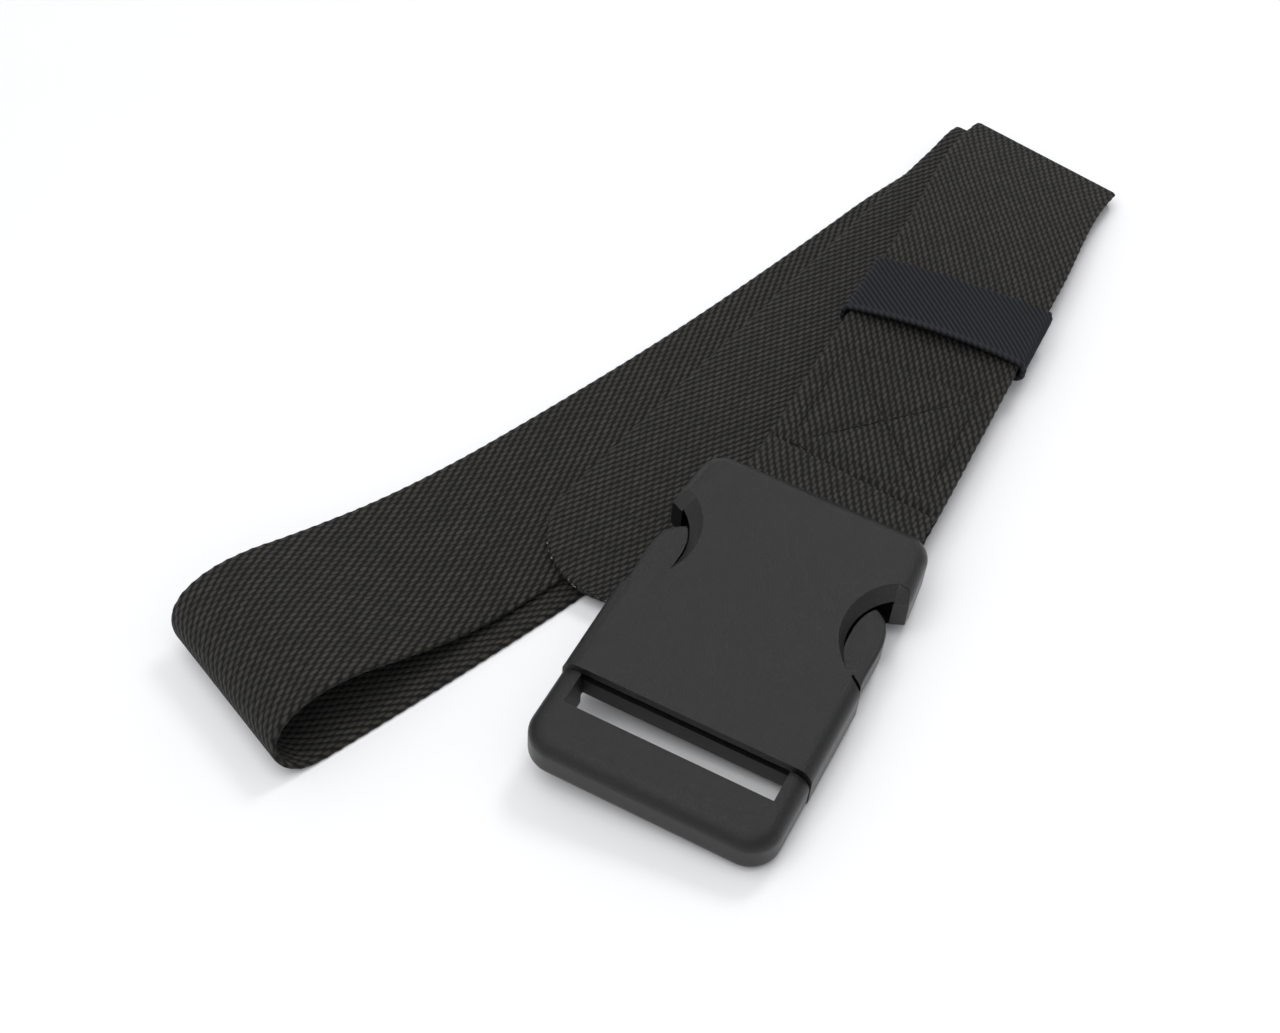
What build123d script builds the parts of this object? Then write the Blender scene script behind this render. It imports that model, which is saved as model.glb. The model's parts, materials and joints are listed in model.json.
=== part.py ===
# A dive weight belt: one long elastic webbing strap, folded up and lying flat, its sewn end
# looped round the bar of a side-release buckle, with a loose elastic keeper on the strap.
# Millimetres, +Z up. The plan coordinates below are measured from the middle of the buckle's
# mouth, with +Y running from the mouth towards the strap; FLOOR moves that point so that the
# belt's own origin is the bottom centre of its bounding box.
import os
from math import asin, atan2, cos, degrees, hypot, pi, radians, sin
from build123d import *

# ---------------------------------------------------------------- driving dimensions
MOUTH_X = 47.47         # where the buckle's mouth lies from the belt's origin
MOUTH_Y = -105.85

STRAP_WIDTH = 50.0
STRAP_THICKNESS = 1.6
PLY_GAP = 0.05          # air between two plies that lie on each other

BUCKLE_ROLL = 5.0       # the buckle leans: its left side rides up on the folded strap
BUCKLE_PITCH = 1.6
REST_CORNER = (30.0, -20.0)     # the rail's corner that touches the floor

BODY_HALF_WIDTH = 33.0
BODY_HEIGHT = 14.0
MOUTH_EDGE = 1.0        # front edge of the top plate
REAR_EDGE = 79.5
PLATE = 2.4             # thickness of the top and bottom plates
CHAMBER_HALF_WIDTH = 29.4
CHAMBER_END = 61.0
PARTITION = 2.0
STRAP_CHAMBER_HALF_WIDTH = 28.4
BAR_V = 72.0            # the crossbar that the sewn loop goes round
BAR_W = 7.0
BAR_RADIUS = 2.0

FRAME_HALF_WIDTH = 32.8
FRAME_HEIGHT = 12.4
RAIL_FRONT = -22.0
FRAME_REAR = 0.5
SLOT_HALF_WIDTH = 27.5
SLOT_FRONT = -8.5
SLOT_REAR = 1.5
BASE_REAR = 8.0
BASE_LOW = 3.0
BASE_HIGH = 8.4

PIVOT_U = 24.2          # root of each latch arm, which bends there
PIVOT_V = 9.8
ARM_ROOT_RADIUS = 1.5
ARM_LOW = 3.0
ARM_HIGH = 11.0

KEEPER_FRONT = 151.0
KEEPER_LENGTH = 27.0
KEEPER_WALL = 1.2
KEEPER_CLEARANCE = 0.4
KEEPER_OUTER_CORNER = 1.6
KEEPER_INNER_CORNER = 0.6
THREAD_HEIGHT = 0.25
THREAD_WIDTH = 0.8

# ---------------------------------------------------------------- reference planes and axes
FLOOR = Plane(origin=(MOUTH_X, MOUTH_Y, 0))

# The buckle's own plane: tilted about the rail corner that touches the floor.
lean = Plane.XY.rotated((BUCKLE_PITCH, BUCKLE_ROLL, 0))
rest_point = Vector(*REST_CORNER, 0)
lean_origin = rest_point - lean.from_local_coords(rest_point)
BUCKLE = Plane(
    origin=FLOOR.from_local_coords(lean_origin),
    x_dir=lean.x_dir,
    z_dir=lean.z_dir,
)
BUCKLE_UP = Axis(BUCKLE.origin, BUCKLE.z_dir)
BUCKLE_ALONG = Axis(BUCKLE.origin, BUCKLE.y_dir)

# The straight stretch of the strap behind the buckle, which the keeper slides on.
# It slopes down from the buckle's bar to the first fold and heads slightly left.
STRETCH_START = 95.0
STRETCH_END = 246.0
STRETCH_DROP = 5.9
STRETCH_HEIGHT = 7.9            # middle of the top ply where the stretch starts
STRETCH_HEADING = -1.1
STRAP_U = 3.0                   # the strap's middle at the bar
slope = degrees(asin(STRETCH_DROP / (STRETCH_END - STRETCH_START)))
stretch_lean = Plane(
    origin=BUCKLE.from_local_coords((STRAP_U, STRETCH_START, STRETCH_HEIGHT)),
    x_dir=BUCKLE.x_dir,
    z_dir=BUCKLE.z_dir,
)
STRETCH = stretch_lean.rotated((-slope, 0, -STRETCH_HEADING))

# Past the keeper's travel the strap dips more steeply towards the floor.
DIP_START = 92.0
DIP_SLOPE = 4.6
dip_lean = Plane(
    origin=STRETCH.from_local_coords((0, DIP_START, 0)),
    x_dir=STRETCH.x_dir,
    z_dir=STRETCH.z_dir,
)
DIP = dip_lean.rotated((-DIP_SLOPE, 0, 0))


# ---------------------------------------------------------------- the strap
# The strap is one ribbon. Each station is the middle of a cross-section, the direction of the
# section's width, the direction of its thickness, and the width there: wider where the section
# is slanted along a fold line.
stations = []


def add_station(middle, across, normal, width=STRAP_WIDTH):
    stations.append((Vector(middle), Vector(across), Vector(normal), width))


def buckle_station(v, w, tangent_angle):
    """A section on the buckle's plane: tangent_angle is the travel's slope in degrees."""
    shift = (v - BAR_V) * sin(radians(STRETCH_HEADING))
    normal_v = -sin(radians(tangent_angle))
    normal_w = cos(radians(tangent_angle))
    normal = BUCKLE.y_dir * normal_v + BUCKLE.z_dir * normal_w
    add_station(BUCKLE.from_local_coords((STRAP_U + shift, v, w)), BUCKLE.x_dir, normal)


def stretch_station(distance, depth, flip):
    """A section on the straight stretch, depth below its top ply."""
    middle = STRETCH.from_local_coords((0, distance, -depth))
    add_station(middle, STRETCH.x_dir, STRETCH.z_dir * flip)


PLY_PITCH = STRAP_THICKNESS + PLY_GAP
FOLD_BACK_END = 68.0            # the sewn end stops under the keeper
BAR_CLEARANCE = 0.3
LOOP_RADIUS = BAR_RADIUS + BAR_CLEARANCE + STRAP_THICKNESS / 2
LOOP_STEPS = 8
DIP_EASE = 4.0                  # half the length over which the strap starts to dip
PLIES_CLOSE_V = 84.0            # behind the bar the two plies come together
LOWER_PLY_W = 4.9
UPPER_PLY_W = 9.2

# 1. the sewn end, under the top ply, back to the buckle
stretch_station(FOLD_BACK_END, PLY_PITCH, -1)
stretch_station(0.0, PLY_PITCH, -1)
buckle_station(PLIES_CLOSE_V, LOWER_PLY_W, 180)

# 2. round the bar, from below, over its front, to above
for step in range(LOOP_STEPS + 1):
    turn = radians(-90 - 180 * step / LOOP_STEPS)
    loop_v = BAR_V + LOOP_RADIUS * cos(turn)
    loop_w = BAR_W + LOOP_RADIUS * sin(turn)
    buckle_station(loop_v, loop_w, degrees(turn) - 90)

# 3. the top ply, through the keeper to the first fold
buckle_station(PLIES_CLOSE_V, UPPER_PLY_W, 0)
stretch_station(0.0, 0.0, 1)
stretch_station(DIP_START - DIP_EASE, 0.0, 1)
add_station(DIP.from_local_coords((0, DIP_EASE, 0)), DIP.x_dir, DIP.z_dir)


def plan_point(x, y, z):
    return FLOOR.from_local_coords((x, y, z))


def heading_vectors(heading):
    """The travel direction and the direction to its right, in plan, heading from +Y."""
    along = Vector(sin(radians(heading)), cos(radians(heading)), 0)
    right = Vector(cos(radians(heading)), -sin(radians(heading)), 0)
    return along, right


def fold(left_low, right_low, left_high, right_high, outward, upwards, steps):
    """Turn the strap over along a fold line, from high to low, or low to high if upwards."""
    for step in range(steps + 1):
        turn = pi / 2 - pi * step / steps
        if upwards:
            turn = -turn
        ends = []
        for low, high in ((left_low, left_high), (right_low, right_high)):
            rise = (1 + sin(turn)) / 2
            radius = (high.Z - low.Z) / 2
            ends.append(high * rise + low * (1 - rise) + outward * (radius * cos(turn)))
        left, right = ends
        across = (right - left).normalized()
        radial = outward * cos(turn) + Vector(0, 0, sin(turn))
        normal = (radial - across * radial.dot(across)).normalized()
        add_station((left + right) * 0.5, across, normal, (right - left).length)


# 4. the first fold, down and back: the fold line crosses the dip at a slant, so the strap also
# moves sideways along the line as it turns over
FOLD_A_LEFT_DISTANCE = 69.8
FOLD_A_RIGHT_DISTANCE = 58.3
FOLD_A_SHIFT = 2.2
FOLD_A_STEPS = 8
LOW_PLY = STRAP_THICKNESS / 2
fold_a_left = DIP.from_local_coords((-STRAP_WIDTH / 2, FOLD_A_LEFT_DISTANCE, 0))
fold_a_right = DIP.from_local_coords((STRAP_WIDTH / 2, FOLD_A_RIGHT_DISTANCE, 0))
fold_a_angle = degrees(atan2(fold_a_left.Y - fold_a_right.Y, fold_a_right.X - fold_a_left.X))
fold_a_out, fold_a_across = heading_vectors(fold_a_angle)
fold_a_low_left = fold_a_left - fold_a_across * FOLD_A_SHIFT
fold_a_low_right = fold_a_right - fold_a_across * FOLD_A_SHIFT
fold_a_low_left.Z = LOW_PLY
fold_a_low_right.Z = LOW_PLY
fold(
    fold_a_low_left,
    fold_a_low_right,
    fold_a_left,
    fold_a_right,
    fold_a_out,
    upwards=False,
    steps=FOLD_A_STEPS,
)

# 5. the long run on the floor, an arc of large radius, to the open loop and back on top
LOOP_END = (-108.3, -34.1)      # the loop's far end, middle of the upper ply
LOOP_HEADING = 24.7
LOOP_SKEW = 6.5                 # the lower ply lies this far to the right of the upper one


class Run:
    """A gently curved run in plan from the loop's end to a fold."""

    def __init__(self, far_point, skew):
        self.start_x = LOOP_END[0] + skew * cos(radians(LOOP_HEADING))
        self.start_y = LOOP_END[1] - skew * sin(radians(LOOP_HEADING))
        dx = far_point[0] - self.start_x
        dy = far_point[1] - self.start_y
        chord_heading = degrees(atan2(dx, dy))
        self.turn = 2 * (LOOP_HEADING - chord_heading)
        half = radians(self.turn) / 2
        self.length = hypot(dx, dy) * half / sin(half)

    def at(self, distance):
        """Plan point and heading at a distance from the loop's end."""
        bend = radians(self.turn) * distance / self.length
        radius = self.length / radians(self.turn)
        start = radians(LOOP_HEADING)
        x = self.start_x + radius * (cos(start - bend) - cos(start))
        y = self.start_y + radius * (sin(start) - sin(start - bend))
        return x, y, LOOP_HEADING - degrees(bend)


def run_station(run, distance, left_z, right_z, slope_angle, flip):
    """A section of a run, its two edges at their own heights: slope_angle is the ribbon's
    slope seen towards the folds."""
    x, y, heading = run.at(distance)
    along, right = heading_vectors(heading)
    tilt = (right_z - left_z) / STRAP_WIDTH
    across = (right + Vector(0, 0, tilt)).normalized()
    steep = along * (-sin(radians(slope_angle))) + Vector(0, 0, cos(radians(slope_angle)))
    normal = (steep - across * steep.dot(across)).normalized()
    add_station(plan_point(x, y, (left_z + right_z) / 2), across, normal * flip)


fold_a_floor = FLOOR.to_local_coords((fold_a_low_left + fold_a_low_right) * 0.5)
FOLD_A_MIDDLE = (fold_a_floor.X, fold_a_floor.Y)
FOLD_C_LEFT = (-31.2, 257.0)
FOLD_C_RIGHT = (17.4, 246.5)
FOLD_C_STEPS = 6
FOLD_C_MIDDLE = ((FOLD_C_LEFT[0] + FOLD_C_RIGHT[0]) / 2, (FOLD_C_LEFT[1] + FOLD_C_RIGHT[1]) / 2)
low_run = Run(FOLD_A_MIDDLE, LOOP_SKEW)
top_run = Run(FOLD_C_MIDDLE, 0.0)
SECOND_PLY = LOW_PLY + PLY_PITCH
THIRD_PLY = LOW_PLY + 2 * PLY_PITCH

LOW_RUN_DISTANCES = (270, 230, 190, 150, 110, 70, 30)
for distance in LOW_RUN_DISTANCES:
    run_station(low_run, distance, LOW_PLY, LOW_PLY, 0, -1)

# round the open loop: distance in from the loop's end, sideways skew, height of the left edge
# and of the right edge, and slope
LOOP_PROFILE = (
    (8.0, 6.5, 0.9, 0.9, 0),
    (2.6, 6.2, 1.9, 1.9, -38),
    (-0.6, 5.4, 4.5, 4.4, -66),
    (-1.9, 4.3, 8.2, 8.0, -90),
    (-1.0, 3.2, 12.0, 11.6, -114),
    (2.3, 2.2, 15.1, 14.6, -140),
    (7.6, 1.3, 16.7, 16.1, -164),
    (13.6, 0.7, 17.1, 16.4, -180),
    (22.0, 0.3, 16.2, 15.2, -194),
    (34.0, 0.0, 13.2, 11.2, -199),
    (46.0, 0.0, 10.6, 7.3, -197),
    (60.0, 0.0, 8.0, 4.1, -190),
    (76.0, 0.0, 6.0, 2.8, -185),
)
for inwards, skew, left_z, right_z, slope_angle in LOOP_PROFILE:
    run_station(Run(FOLD_C_MIDDLE, skew), inwards, left_z, right_z, slope_angle, -1)

# the upper ply settles on the lower one, its left edge last: distance and left height
TOP_RUN_SETTLING = (
    (90, 4.9), (110, 4.1), (130, 3.5), (150, 2.9), (170, 2.5), (210, 2.45), (250, 2.45),
)
for distance, left_z in TOP_RUN_SETTLING:
    run_station(top_run, distance, left_z, SECOND_PLY, 0, 1)

# 6. the last fold, up and over, and the tail with its round end
fold_c_angle = degrees(atan2(FOLD_C_LEFT[1] - FOLD_C_RIGHT[1], FOLD_C_RIGHT[0] - FOLD_C_LEFT[0]))
fold_c_out = heading_vectors(fold_c_angle)[0]
fold(
    plan_point(*FOLD_C_LEFT, SECOND_PLY),
    plan_point(*FOLD_C_RIGHT, SECOND_PLY),
    plan_point(*FOLD_C_LEFT, THIRD_PLY),
    plan_point(*FOLD_C_RIGHT, THIRD_PLY),
    fold_c_out,
    upwards=True,
    steps=FOLD_C_STEPS,
)
TAIL_HEADING = 9.5
TAIL_LENGTH = 223.0
TIP_LIFT = 1.0          # the tip lies on the part of the strap that hasn't settled yet
tail_along, tail_right = heading_vectors(TAIL_HEADING)
tail_start = plan_point(*FOLD_C_MIDDLE, THIRD_PLY)
TIP_RADIUS = STRAP_WIDTH / 2
UP = Vector(0, 0, 1)
tip_centre = tail_start - tail_along * (TAIL_LENGTH - TIP_RADIUS) + UP * TIP_LIFT
TAIL_RISE = ((14.0, 0.0), (90.0, 0.3), (140.0, 0.9))    # distance, and how far it is lifted
for distance, lift in TAIL_RISE:
    add_station(tail_start - tail_along * distance + UP * lift, tail_right, UP)
add_station(tip_centre, tail_right, UP)

with BuildPart() as strap:
    for middle, across, normal, width in stations:
        with BuildSketch(Plane(origin=middle, x_dir=across, z_dir=across.cross(normal))):
            Rectangle(width, STRAP_THICKNESS)
    loft(ruled=True)
    tip_plane = Plane(origin=tip_centre - UP * LOW_PLY, x_dir=tail_right, z_dir=UP)
    with BuildSketch(tip_plane):
        Circle(TIP_RADIUS)
        Rectangle(STRAP_WIDTH, TIP_RADIUS, align=(Align.CENTER, Align.MIN), mode=Mode.SUBTRACT)
    extrude(amount=STRAP_THICKNESS)
strap.part.label = "strap"


# ---------------------------------------------------------------- stitching through both plies
BOX_START = 0.6         # the box of stitches, measured along the straight stretch
BOX_END = 41.5
BOX_HALF_WIDTH = 19.5
BOX_CORNERS = (
    (-BOX_HALF_WIDTH, BOX_START), (BOX_HALF_WIDTH, BOX_START),
    (BOX_HALF_WIDTH, BOX_END), (-BOX_HALF_WIDTH, BOX_END),
)


def thread_run(start, end):
    """A straight run of stitches, as a thin bar on the current sketch plane."""
    middle = ((start[0] + end[0]) / 2, (start[1] + end[1]) / 2)
    angle = degrees(atan2(end[1] - start[1], end[0] - start[0]))
    with Locations(Location((middle[0], middle[1], 0), (0, 0, angle))):
        Rectangle(hypot(end[0] - start[0], end[1] - start[1]) + THREAD_WIDTH, THREAD_WIDTH)


with BuildPart() as box_stitching:
    upper_face = STRAP_THICKNESS / 2
    lower_face = -PLY_PITCH - STRAP_THICKNESS / 2
    for height, direction in ((upper_face, 1), (lower_face, -1)):
        with BuildSketch(STRETCH.offset(height)):
            for corner in range(4):
                thread_run(BOX_CORNERS[corner], BOX_CORNERS[(corner + 1) % 4])
            thread_run(BOX_CORNERS[0], BOX_CORNERS[2])
            thread_run(BOX_CORNERS[1], BOX_CORNERS[3])
        extrude(amount=THREAD_HEIGHT * direction)
box_stitching.part.label = "box_stitching"

# ---------------------------------------------------------------- the elastic keeper
KEEPER_START = KEEPER_FRONT - STRETCH_START
inner_top = STRAP_THICKNESS / 2 + KEEPER_CLEARANCE
inner_bottom = -PLY_PITCH - STRAP_THICKNESS / 2 - KEEPER_CLEARANCE
inner_height = inner_top - inner_bottom
inner_width = STRAP_WIDTH + 2 * KEEPER_CLEARANCE
keeper_middle = (inner_top + inner_bottom) / 2
KEEPER_SECTION = Plane(
    origin=STRETCH.from_local_coords((0, KEEPER_START, keeper_middle)),
    x_dir=STRETCH.x_dir,
    z_dir=STRETCH.y_dir * -1,
)
with BuildPart() as keeper_band:
    with BuildSketch(KEEPER_SECTION):
        RectangleRounded(
            inner_width + 2 * KEEPER_WALL,
            inner_height + 2 * KEEPER_WALL,
            KEEPER_OUTER_CORNER,
        )
        RectangleRounded(inner_width, inner_height, KEEPER_INNER_CORNER, mode=Mode.SUBTRACT)
    extrude(amount=-KEEPER_LENGTH)
keeper_band.part.label = "keeper_band"

SEAM_INSET = 3.0        # two rows of stitches close the band on its underside
SEAM_MARGIN = 2.5       # and stop short of its edges
with BuildPart() as keeper_stitching:
    with BuildSketch(STRETCH.offset(inner_bottom - KEEPER_WALL)):
        for row in (-SEAM_INSET, SEAM_INSET):
            seam_start = (row, KEEPER_START + SEAM_MARGIN)
            seam_end = (row, KEEPER_START + KEEPER_LENGTH - SEAM_MARGIN)
            thread_run(seam_start, seam_end)
    extrude(amount=-THREAD_HEIGHT)
keeper_stitching.part.label = "keeper_stitching"

# ---------------------------------------------------------------- the buckle's outer half
REAR_HALF_WIDTH = 31.4
BAR_EMBED = 0.5         # how far the bar's ends run into the side walls
SHOULDER_V = 62.0
REAR_CORNER_RADIUS = 7.0
BODY_TOP_ROUND = 4.0
BODY_BOTTOM_ROUND = 2.4
WINDOW_OUTSIDE = 38.0
MOUTH_CUTBACK = 5.0     # how far the bottom plate stops short of the mouth


def window_outline(front_out, front_in, apex, rear_in, rear_out, side):
    """A side window's plan: a straight edge in, an arc round the thumb, a straight edge out."""
    points = [(side * u, v) for u, v in (front_out, front_in, apex, rear_in, rear_out)]
    with BuildLine() as outline:
        Line(points[0], points[1])
        ThreePointArc(points[1], points[2], points[3])
        Line(points[3], points[4])
        Line(points[4], points[0])
    return outline.edges()


# each outline runs from outside in, round the thumb's arc and out again
WINDOW_INNER = (
    (WINDOW_OUTSIDE, 24.8), (29.4, 31.8), (23.2, 45.0), (29.5, 57.5), (WINDOW_OUTSIDE, 61.5),
)
WINDOW_RIM = (
    (WINDOW_OUTSIDE, 24.0), (28.6, 31.2), (20.6, 46.0), (27.6, 61.8), (WINDOW_OUTSIDE, 67.0),
)
RIM_DEPTH = 2.7
CUT_OVERSHOOT = 1.0     # how far a through cut runs past each face
RIM_OVERSHOOT = 0.05

with BuildPart() as female_buckle:
    with BuildSketch(BUCKLE):
        with BuildLine():
            Polyline(
                (-BODY_HALF_WIDTH, MOUTH_EDGE),
                (BODY_HALF_WIDTH, MOUTH_EDGE),
                (BODY_HALF_WIDTH, SHOULDER_V),
                (REAR_HALF_WIDTH, REAR_EDGE),
                (-REAR_HALF_WIDTH, REAR_EDGE),
                (-BODY_HALF_WIDTH, SHOULDER_V),
                close=True,
            )
        make_face()
        rear_corners = vertices().sort_by(BUCKLE_ALONG)[-2:]
        fillet(rear_corners, radius=REAR_CORNER_RADIUS)
    extrude(amount=BODY_HEIGHT)
    mouth_edges = edges().group_by(BUCKLE_ALONG)[0]
    top_edges = edges().group_by(BUCKLE_UP)[-1] - mouth_edges
    fillet(top_edges, radius=BODY_TOP_ROUND)
    mouth_edges = edges().group_by(BUCKLE_ALONG)[0]
    bottom_edges = edges().group_by(BUCKLE_UP)[0] - mouth_edges
    fillet(bottom_edges, radius=BODY_BOTTOM_ROUND)
    # the latch chamber, open at the mouth, and the strap chamber, open at the rear
    with BuildSketch(BUCKLE.offset(PLATE)):
        with Locations((0, CHAMBER_END / 2)):
            Rectangle(2 * CHAMBER_HALF_WIDTH, CHAMBER_END)
        strap_chamber_start = CHAMBER_END + PARTITION
        strap_chamber_length = REAR_EDGE - strap_chamber_start + 1
        with Locations((0, strap_chamber_start + strap_chamber_length / 2)):
            Rectangle(2 * STRAP_CHAMBER_HALF_WIDTH, strap_chamber_length)
    extrude(amount=BODY_HEIGHT - 2 * PLATE, mode=Mode.SUBTRACT)
    # the bottom plate stops short of the mouth
    with BuildSketch(BUCKLE):
        Rectangle(2 * CHAMBER_HALF_WIDTH, 2 * MOUTH_CUTBACK)
    extrude(amount=PLATE, mode=Mode.SUBTRACT)
    # the side windows, with a wide dished rim above and below
    for side in (-1, 1):
        with BuildSketch(BUCKLE.offset(-CUT_OVERSHOOT)):
            make_face(window_outline(*WINDOW_INNER, side))
        extrude(amount=BODY_HEIGHT + 2 * CUT_OVERSHOOT, mode=Mode.SUBTRACT)
        for inner_height_w, rim_height_w in (
            (BODY_HEIGHT - RIM_DEPTH, BODY_HEIGHT + RIM_OVERSHOOT),
            (RIM_DEPTH, -RIM_OVERSHOOT),
        ):
            with BuildSketch(BUCKLE.offset(inner_height_w)):
                make_face(window_outline(*WINDOW_INNER, side))
            with BuildSketch(BUCKLE.offset(rim_height_w)):
                make_face(window_outline(*WINDOW_RIM, side))
            loft(mode=Mode.SUBTRACT)
    # the bar across the strap chamber
    bar_plane = Plane(
        origin=BUCKLE.from_local_coords((0, BAR_V, BAR_W)),
        x_dir=BUCKLE.y_dir,
        z_dir=BUCKLE.x_dir,
    )
    with BuildSketch(bar_plane):
        Circle(BAR_RADIUS)
    extrude(amount=STRAP_CHAMBER_HALF_WIDTH + BAR_EMBED, both=True)
female_buckle.part.label = "female_buckle"

# ---------------------------------------------------------------- the buckle's inner half
FRAME_CORNER_RADIUS = 8.0
FRAME_TOP_ROUND = 4.2
FRAME_BOTTOM_ROUND = 3.2
BASE_HALF_WIDTH = 28.9
BASE_LAP = 3.0          # how far the base runs back into the rail's side arms
TONGUE_LOW = 5.4
TONGUE_THICKNESS = 3.2
TONGUE_HALF_WIDTH = 7.0
TONGUE_TIP_HALF_WIDTH = 4.5
TONGUE_SHOULDER = 46.0
TONGUE_END = 54.0
WEB_WIDTH = 8.0
WEB_LAP = 0.5           # how far each web sinks into the base

with BuildPart() as male_frame:
    with BuildSketch(BUCKLE):
        with BuildLine():
            Polyline(
                (-FRAME_HALF_WIDTH, FRAME_REAR),
                (-FRAME_HALF_WIDTH, RAIL_FRONT),
                (FRAME_HALF_WIDTH, RAIL_FRONT),
                (FRAME_HALF_WIDTH, FRAME_REAR),
                close=True,
            )
        make_face()
        rail_corners = vertices().sort_by(BUCKLE_ALONG)[:2]
        fillet(rail_corners, radius=FRAME_CORNER_RADIUS)
    extrude(amount=FRAME_HEIGHT)
    rear_edges = edges().group_by(BUCKLE_ALONG)[-1]
    fillet(edges().group_by(BUCKLE_UP)[-1] - rear_edges, radius=FRAME_TOP_ROUND)
    rear_edges = edges().group_by(BUCKLE_ALONG)[-1]
    fillet(edges().group_by(BUCKLE_UP)[0] - rear_edges, radius=FRAME_BOTTOM_ROUND)
    with BuildSketch(BUCKLE.offset(BASE_LOW)):
        with Locations((0, (BASE_REAR - BASE_LAP) / 2)):
            Rectangle(2 * BASE_HALF_WIDTH, BASE_REAR + BASE_LAP)
    extrude(amount=BASE_HIGH - BASE_LOW)
    with BuildSketch(BUCKLE.offset(-CUT_OVERSHOOT)):
        with Locations((0, (SLOT_FRONT + SLOT_REAR) / 2)):
            Rectangle(2 * SLOT_HALF_WIDTH, SLOT_REAR - SLOT_FRONT)
    extrude(amount=FRAME_HEIGHT + 2 * CUT_OVERSHOOT, mode=Mode.SUBTRACT)
    # the tongue that guides the two halves together
    with BuildSketch(BUCKLE.offset(TONGUE_LOW)):
        with BuildLine():
            Polyline(
                (-TONGUE_HALF_WIDTH, BASE_REAR - 1),
                (TONGUE_HALF_WIDTH, BASE_REAR - 1),
                (TONGUE_HALF_WIDTH, TONGUE_SHOULDER),
                (TONGUE_TIP_HALF_WIDTH, TONGUE_END),
                (-TONGUE_TIP_HALF_WIDTH, TONGUE_END),
                (-TONGUE_HALF_WIDTH, TONGUE_SHOULDER),
                close=True,
            )
        make_face()
    extrude(amount=TONGUE_THICKNESS)
    # webs that carry the two latch arms' roots
    web_length = BASE_REAR - SLOT_REAR - 2
    for side in (-1, 1):
        with BuildSketch(BUCKLE.offset(BASE_HIGH - WEB_LAP)):
            with Locations((side * PIVOT_U, BASE_REAR - web_length / 2)):
                Rectangle(WEB_WIDTH, web_length)
        extrude(amount=ARM_HIGH - BASE_HIGH + WEB_LAP)
male_frame.part.label = "male_frame"


ARM_INNER_U = 22.9      # inner face of each arm
ARM_SHAFT = ((25.5, PIVOT_V), (25.9, 27.5), (29.2, 33.4), (32.3, 30.9))
PAD_OUTER = ((32.3, 30.9), (32.1, 42.0), (30.0, 51.5), (26.6, 54.4))
PAD_INNER = ((26.6, 54.4), (24.4, 50.5), (23.6, 44.0), (ARM_INNER_U, 28.0))
PAD_ROUND = 0.9
PAD_START = 33.0        # the rounded edges of the pad are beyond this, and outside PAD_INSIDE
PAD_INSIDE = 25.0


def is_pad_edge(edge):
    """Whether an edge belongs to the thumb pad's rounded outside."""
    middle = BUCKLE.to_local_coords(edge.center())
    return middle.Y > PAD_START and abs(middle.X) > PAD_INSIDE


def latch_arm(side):
    """A springy arm with its thumb pad: side is -1 for the left arm and 1 for the right."""

    def mirrored(points):
        return [(side * u, v) for u, v in points]

    with BuildPart() as arm:
        with BuildSketch(BUCKLE.offset(ARM_LOW)):
            with BuildLine():
                Polyline(mirrored(((ARM_INNER_U, PIVOT_V), *ARM_SHAFT)))
                Spline(mirrored(PAD_OUTER))
                Spline(mirrored(PAD_INNER))
                Line(mirrored((PAD_INNER[-1], (ARM_INNER_U, PIVOT_V))))
            make_face()
            with Locations((side * PIVOT_U, PIVOT_V)):
                Circle(ARM_ROOT_RADIUS)
        extrude(amount=ARM_HIGH - ARM_LOW)
        by_height = edges().group_by(BUCKLE_UP)
        pad_edges = (by_height[0] + by_height[-1]).filter_by(is_pad_edge)
        fillet(pad_edges, radius=PAD_ROUND)
    return arm


left_arm = latch_arm(-1)
left_arm.part.label = "left_arm"
right_arm = latch_arm(1)
right_arm.part.label = "right_arm"

# ---------------------------------------------------------------- files
os.makedirs("parts", exist_ok=True)
export_step(strap.part, "parts/strap.step")
export_step(box_stitching.part, "parts/box_stitching.step")
export_step(keeper_band.part, "parts/keeper_band.step")
export_step(keeper_stitching.part, "parts/keeper_stitching.step")
export_step(female_buckle.part, "parts/female_buckle.step")
export_step(male_frame.part, "parts/male_frame.step")
export_step(left_arm.part, "parts/left_arm.step")
export_step(right_arm.part, "parts/right_arm.step")
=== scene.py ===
import json
import random
from math import atan2, cos, pi, radians, sin

import bmesh
import bpy
from mathutils import Matrix, Vector
from mathutils.geometry import interpolate_bezier


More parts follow.
